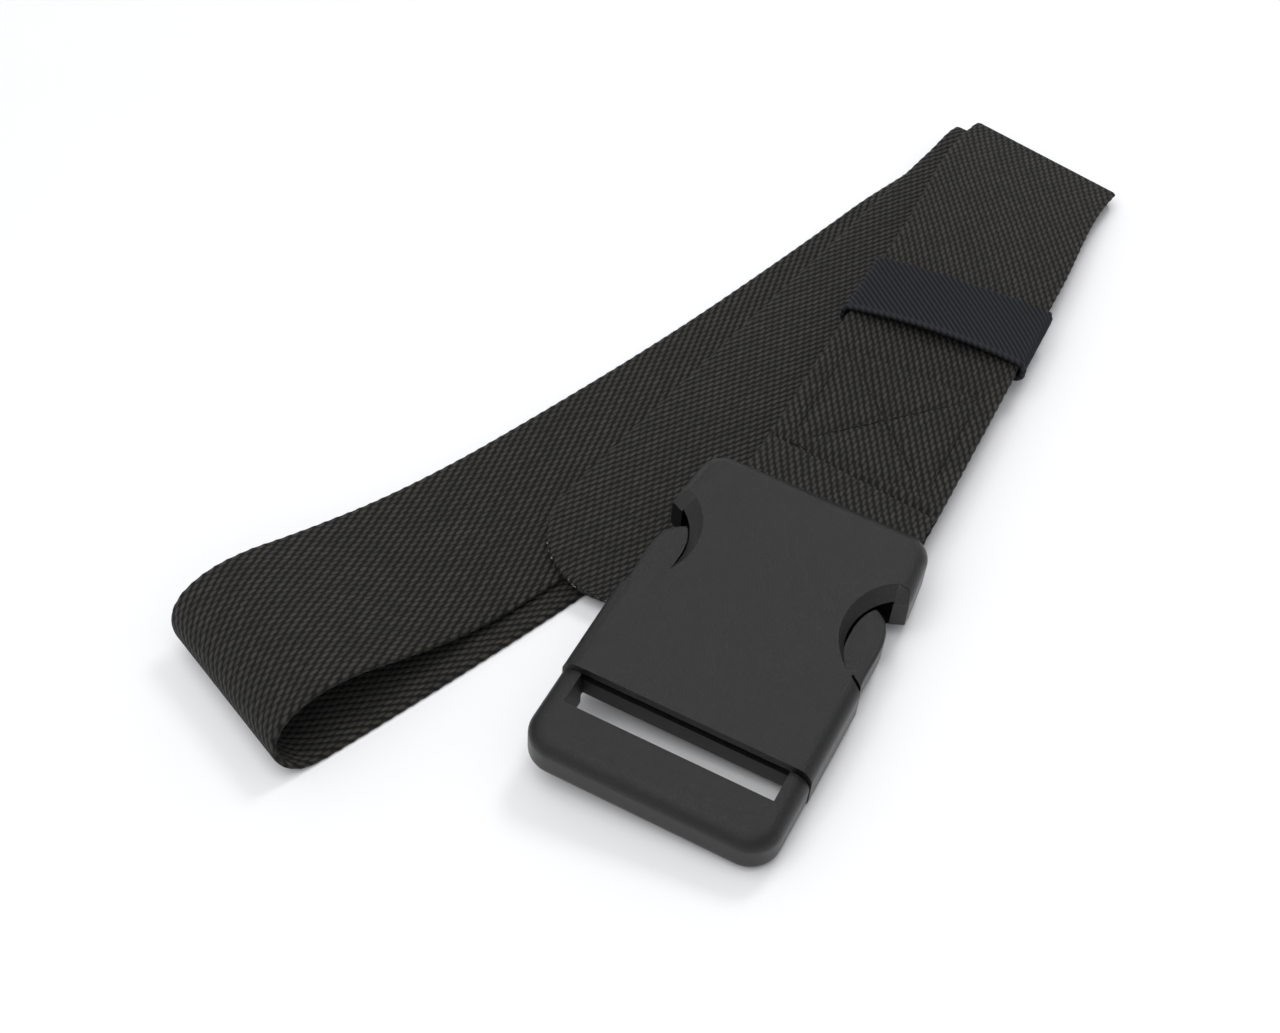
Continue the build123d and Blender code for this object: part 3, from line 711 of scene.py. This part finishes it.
# %% [markdown]
# ## The melted tip
#
# Webbing is cut with a hot knife, which seals the end and leaves small pale beads of melted
# fibre along the cut. They're tiny, but they catch the eye on a black strap. Each is a small
# ball, stretched and turned by chance, with a fixed seed so that it's the same every time.
# %% Beads along the cut
BEADS = 46
chance = random.Random(11)
tip_centre = tail_start - tail_along * ((TAIL_LENGTH - TIP_RADIUS) * MM) + UP * (TIP_LIFT * MM)
bm = bmesh.new()
for index in range(BEADS):
    angle = radians(chance.uniform(-80, 45))
    reach = (TIP_RADIUS + chance.uniform(-0.35, 0.12)) * MM
    rim = tail_across * -sin(angle) - tail_along * cos(angle)
    height = chance.uniform(-0.3, 0.75) * MM
    spot = tip_centre + rim * reach + Vector((0, 0, height))
    length = chance.uniform(0.12, 0.3) * (2.2 if chance.random() < 0.25 else 1)
    size = Matrix.Diagonal((chance.uniform(0.14, 0.26) * MM, length * MM, 0.16 * MM, 1))
    turn = Matrix((rim, rim.cross(UP), UP)).transposed().to_4x4()
    place = Matrix.Translation(spot) @ turn @ size
    bmesh.ops.create_icosphere(bm, subdivisions=1, radius=1.0, matrix=place)
melted_beads = finish_mesh(bm, "melted_beads")

# %% [markdown]
# ## Shader tools
#
# Node trees are long to write out, so two helpers do the typing: one adds a maths node, the other
# adds any node and sets its inputs. The weave has sixty nodes, so it's a group, and the webbing's
# material stays short enough to read.
# %% Helpers for node trees
def add_node(tree, kind, inputs=(), **settings):
    """Add a node, set its properties, and set or link its inputs by name."""
    node = tree.nodes.new(kind)
    for name, value in settings.items():
        setattr(node, name, value)
    for name, value in dict(inputs).items():
        if isinstance(value, bpy.types.NodeSocket):
            tree.links.new(value, node.inputs[name])
        else:
            node.inputs[name].default_value = value
    return node


def maths(tree, operation, *values):
    """Add a maths node whose inputs are numbers or other nodes' outputs."""
    node = add_node(tree, "ShaderNodeMath", dict(enumerate(values)), operation=operation)
    return node.outputs[0]


def new_group(name, inputs, outputs):
    """A node group with named number or vector sockets."""
    kinds = {"F": "NodeSocketFloat", "V": "NodeSocketVector"}
    tree = bpy.data.node_groups.new(name, "ShaderNodeTree")
    for direction, sockets in (("INPUT", inputs), ("OUTPUT", outputs)):
        for label, kind in sockets.items():
            tree.interface.new_socket(label, in_out=direction, socket_type=kinds[kind])
    source = tree.nodes.new("NodeGroupInput")
    sink = tree.nodes.new("NodeGroupOutput")
    return tree, source.outputs, sink.inputs


def new_material(name):
    """A material with a Principled shader, and that shader."""
    material = bpy.data.materials.new(name)
    material.use_nodes = True
    return material, material.node_tree, material.node_tree.nodes["Principled BSDF"]


def mix_colour(tree, factor, first, second):
    node = add_node(tree, "ShaderNodeMix", data_type="RGBA")
    for index, value in ((0, factor), (6, first), (7, second)):
        if isinstance(value, bpy.types.NodeSocket):
            tree.links.new(value, node.inputs[index])
        else:
            node.inputs[index].default_value = value
    return node.outputs[2]


# %% [markdown]
# ## The weave
#
# The webbing's face is made of short floats of yarn, each about three millimetres long, in
# columns one millimetre apart, and each column starts half a float later than the last. Between
# the ends of the floats the weave is open and looks like a small dark hole; the material paints
# that shade in as near-black colour. A noise texture can't do that. Instead the cloth's ruler is
# folded into one cell by rounding, a dome is drawn in the cell, and the same is done again half a
# cell on; the higher of the two domes is the surface.
# %% The weave group
FLOAT_PITCH = 3.6
COLUMN_PITCH = 1.03


def wrap(tree, value, shift, period):
    """Fold a measure into one cell: the distance from its middle, and the cell's number."""
    moved = maths(tree, "DIVIDE", maths(tree, "SUBTRACT", value, shift), period)
    centred = maths(tree, "SUBTRACT", moved, maths(tree, "ROUND", moved))
    return maths(tree, "MULTIPLY", centred, period), maths(tree, "ROUND", moved)


weave, given, made = new_group(
    "float_weave",
    {"Ruler": "V", "Slant": "F", "Half width": "F", "Half length": "F"},
    {"Height": "F", "Yarn": "F"},
)
split = add_node(weave, "ShaderNodeSeparateXYZ", {"Vector": given["Ruler"]})
across, along = split.outputs["X"], split.outputs["Y"]
domes = []
yarns = []
for parity in (0, 1):
    column_offset, column_number = wrap(weave, across, parity * COLUMN_PITCH, 2 * COLUMN_PITCH)
    float_offset, float_number = wrap(weave, along, parity * FLOAT_PITCH / 2, FLOAT_PITCH)
    lean = maths(weave, "MULTIPLY", float_offset, given["Slant"])
    side = maths(weave, "DIVIDE", maths(weave, "ADD", column_offset, lean), given["Half width"])
    end = maths(weave, "DIVIDE", float_offset, given["Half length"])
    rounded = maths(weave, "POWER", maths(weave, "ABSOLUTE", side), 2.0)
    ended = maths(weave, "POWER", maths(weave, "ABSOLUTE", end), 2.6)
    dome = maths(weave, "SUBTRACT", 1.0, maths(weave, "ADD", rounded, ended))
    domes.append(maths(weave, "MAXIMUM", dome, 0.0))
    number = maths(weave, "MULTIPLY_ADD", column_number, 7.31, float_number)
    yarns.append(maths(weave, "ADD", number, parity * 0.37))
height = maths(weave, "MAXIMUM", domes[0], domes[1])
first_wins = maths(weave, "GREATER_THAN", domes[0], domes[1])
yarn_number = maths(
    weave, "ADD",
    maths(weave, "MULTIPLY", yarns[0], first_wins),
    maths(weave, "MULTIPLY", yarns[1], maths(weave, "SUBTRACT", 1.0, first_wins)),
)
yarn_noise = add_node(weave, "ShaderNodeTexWhiteNoise", {"W": yarn_number}, noise_dimensions="1D")
weave.links.new(height, made["Height"])
weave.links.new(yarn_noise.outputs["Value"], made["Yarn"])
print("weave group:", len(weave.nodes), "nodes")

# %% The webbing's material
webbing, tree, shader = new_material("webbing")
ruler_node = add_node(tree, "ShaderNodeUVMap", uv_map="ruler").outputs["UV"]
wobble = add_node(tree, "ShaderNodeTexNoise", {"Vector": ruler_node, "Scale": 0.35, "Detail": 2.0})
offset = add_node(
    tree, "ShaderNodeVectorMath",
    {0: wobble.outputs["Color"], 1: (0.5, 0.5, 0.5)},
    operation="SUBTRACT",
)
scaled = add_node(
    tree, "ShaderNodeVectorMath", {0: offset.outputs[0], "Scale": 0.7}, operation="SCALE",
)
loosened = add_node(
    tree, "ShaderNodeVectorMath", {0: ruler_node, 1: scaled.outputs[0]}, operation="ADD",
)
cloth = add_node(tree, "ShaderNodeGroup", node_tree=weave)
tree.links.new(loosened.outputs[0], cloth.inputs["Ruler"])
cloth.inputs["Slant"].default_value = 0.15
cloth.inputs["Half width"].default_value = 0.66
cloth.inputs["Half length"].default_value = 1.48
fibres = add_node(tree, "ShaderNodeTexNoise", {"Vector": ruler_node, "Scale": 7.0, "Detail": 3.0})
patches = add_node(tree, "ShaderNodeTexNoise", {"Vector": ruler_node, "Scale": 0.11, "Detail": 3.0})
tone = maths(tree, "MULTIPLY_ADD", cloth.outputs["Yarn"], 0.35, 0.35)
tone = maths(tree, "MULTIPLY_ADD", fibres.outputs["Fac"], 0.5, tone)
tone = maths(tree, "MULTIPLY_ADD", patches.outputs["Fac"], 0.25, tone)
tone = maths(tree, "SUBTRACT", tone, 0.3)
# painted shade: the colour runs to near-black where the weave's height is low, between and round the
# floats
crown = maths(tree, "POWER", cloth.outputs["Height"], 1.15)
yarn_colour = mix_colour(tree, tone, (0.009, 0.0085, 0.0076, 1), (0.052, 0.0485, 0.042, 1))
colour = mix_colour(tree, crown, (0.0008, 0.0008, 0.0008, 1), yarn_colour)
tree.links.new(colour, shader.inputs["Base Color"])
relief = maths(tree, "MULTIPLY_ADD", fibres.outputs["Fac"], 0.18, cloth.outputs["Height"])
bump = add_node(tree, "ShaderNodeBump", {"Height": relief, "Strength": 1.0, "Distance": 0.5 * MM})
tree.links.new(bump.outputs["Normal"], shader.inputs["Normal"])
shader.inputs["Roughness"].default_value = 0.75
shader.inputs["Specular IOR Level"].default_value = 0.2
shader.inputs["Sheen Weight"].default_value = 0.03
shader.inputs["Sheen Roughness"].default_value = 0.5
strap.data.materials.append(webbing)

# %% The keeper's elastic
elastic, tree, shader = new_material("keeper_elastic")
ruler_node = add_node(tree, "ShaderNodeUVMap", uv_map="ruler").outputs["UV"]
ruler_parts = add_node(tree, "ShaderNodeSeparateXYZ", {"Vector": ruler_node})
rib_turn = maths(tree, "MULTIPLY", ruler_parts.outputs["X"], 2 * pi * RIB_COUNT / BAND_AROUND)
rib_crest = maths(tree, "MULTIPLY_ADD", maths(tree, "COSINE", rib_turn), 0.5, 0.5)
fine = add_node(
    tree, "ShaderNodeMapping",
    {"Vector": ruler_node, "Scale": (5.0, 1.2, 1.0)},
)
threads = add_node(
    tree, "ShaderNodeTexNoise", {"Vector": fine.outputs["Vector"], "Scale": 1.6, "Detail": 4.0},
)
# painted shade in the valleys between the ribs, mixed with the threads' own random tone
valley_shade_and_threads = maths(tree, "MULTIPLY", rib_crest, threads.outputs["Fac"])
colour = mix_colour(tree, valley_shade_and_threads, (0.0012, 0.0014, 0.0018, 1), (0.030, 0.033, 0.042, 1))
tree.links.new(colour, shader.inputs["Base Color"])
bump = add_node(
    tree, "ShaderNodeBump",
    {"Height": threads.outputs["Fac"], "Strength": 0.7, "Distance": 0.15 * MM},
)
tree.links.new(bump.outputs["Normal"], shader.inputs["Normal"])
shader.inputs["Roughness"].default_value = 0.7
shader.inputs["Specular IOR Level"].default_value = 0.25
keeper.data.materials.append(elastic)

# %% Thread and melted fibre
thread, tree, shader = new_material("thread")
place = add_node(tree, "ShaderNodeTexCoord").outputs["Object"]
twist = add_node(tree, "ShaderNodeTexNoise", {"Vector": place, "Scale": 2600.0, "Detail": 2.0})
colour = mix_colour(tree, twist.outputs["Fac"], (0.003, 0.003, 0.003, 1), (0.014, 0.0138, 0.0135, 1))
tree.links.new(colour, shader.inputs["Base Color"])
bump = add_node(
    tree, "ShaderNodeBump",
    {"Height": twist.outputs["Fac"], "Strength": 0.5, "Distance": 0.1 * MM},
)
tree.links.new(bump.outputs["Normal"], shader.inputs["Normal"])
shader.inputs["Roughness"].default_value = 0.8
shader.inputs["Specular IOR Level"].default_value = 0.2
sewn_box.data.materials.append(thread)
keeper_seam.data.materials.append(thread)

melted, tree, shader = new_material("melted_fibre")
place = add_node(tree, "ShaderNodeTexCoord").outputs["Object"]
clots = add_node(tree, "ShaderNodeTexNoise", {"Vector": place, "Scale": 900.0, "Detail": 2.0})
colour = mix_colour(tree, clots.outputs["Fac"], (0.03, 0.03, 0.03, 1), (0.42, 0.40, 0.37, 1))
tree.links.new(colour, shader.inputs["Base Color"])
shader.inputs["Roughness"].default_value = 0.35
melted_beads.data.materials.append(melted)

# %% The buckle's plastic
plastic, tree, shader = new_material("buckle_plastic")
place = add_node(tree, "ShaderNodeTexCoord").outputs["Object"]
grain = add_node(
    tree, "ShaderNodeTexNoise",
    {"Vector": place, "Scale": 3200.0, "Detail": 2.0, "Roughness": 0.6},
)
cloud = add_node(tree, "ShaderNodeTexNoise", {"Vector": place, "Scale": 45.0, "Detail": 4.0})
colour = mix_colour(tree, cloud.outputs["Fac"], (0.0035, 0.0035, 0.0038, 1), (0.0085, 0.0083, 0.008, 1))
shader.inputs["Specular IOR Level"].default_value = 0.32
tree.links.new(colour, shader.inputs["Base Color"])
rough = maths(tree, "MULTIPLY_ADD", cloud.outputs["Fac"], 0.14, 0.24)
tree.links.new(rough, shader.inputs["Roughness"])
bump = add_node(
    tree, "ShaderNodeBump",
    {"Height": grain.outputs["Fac"], "Strength": 1.0, "Distance": 0.2 * MM},
)
tree.links.new(bump.outputs["Normal"], shader.inputs["Normal"])
for name in ("female_buckle", "male_frame", "left_arm", "right_arm"):
    mesh = nodes[name].data
    mesh.materials.clear()
    mesh.materials.append(plastic)
print("plastic on the buckle's four parts")

# %% The floor's material
paper, tree, shader = new_material("studio_paper")
place = add_node(tree, "ShaderNodeTexCoord").outputs["Object"]
mottle = add_node(tree, "ShaderNodeTexNoise", {"Vector": place, "Scale": 6.0, "Detail": 2.0})
colour = mix_colour(tree, mottle.outputs["Fac"], (0.80, 0.80, 0.81, 1), (0.84, 0.84, 0.85, 1))
tree.links.new(colour, shader.inputs["Base Color"])
shader.inputs["Roughness"].default_value = 0.6
studio_floor.data.materials.append(paper)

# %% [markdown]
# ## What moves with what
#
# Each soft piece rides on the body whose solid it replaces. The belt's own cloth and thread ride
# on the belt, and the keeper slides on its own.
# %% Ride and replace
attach(strap, "belt")
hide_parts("strap")
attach(sewn_box, "belt")
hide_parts("box_stitching")
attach(melted_beads, "belt")
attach(keeper, "keeper")
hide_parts("keeper_band")
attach(keeper_seam, "keeper")
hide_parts("keeper_stitching")
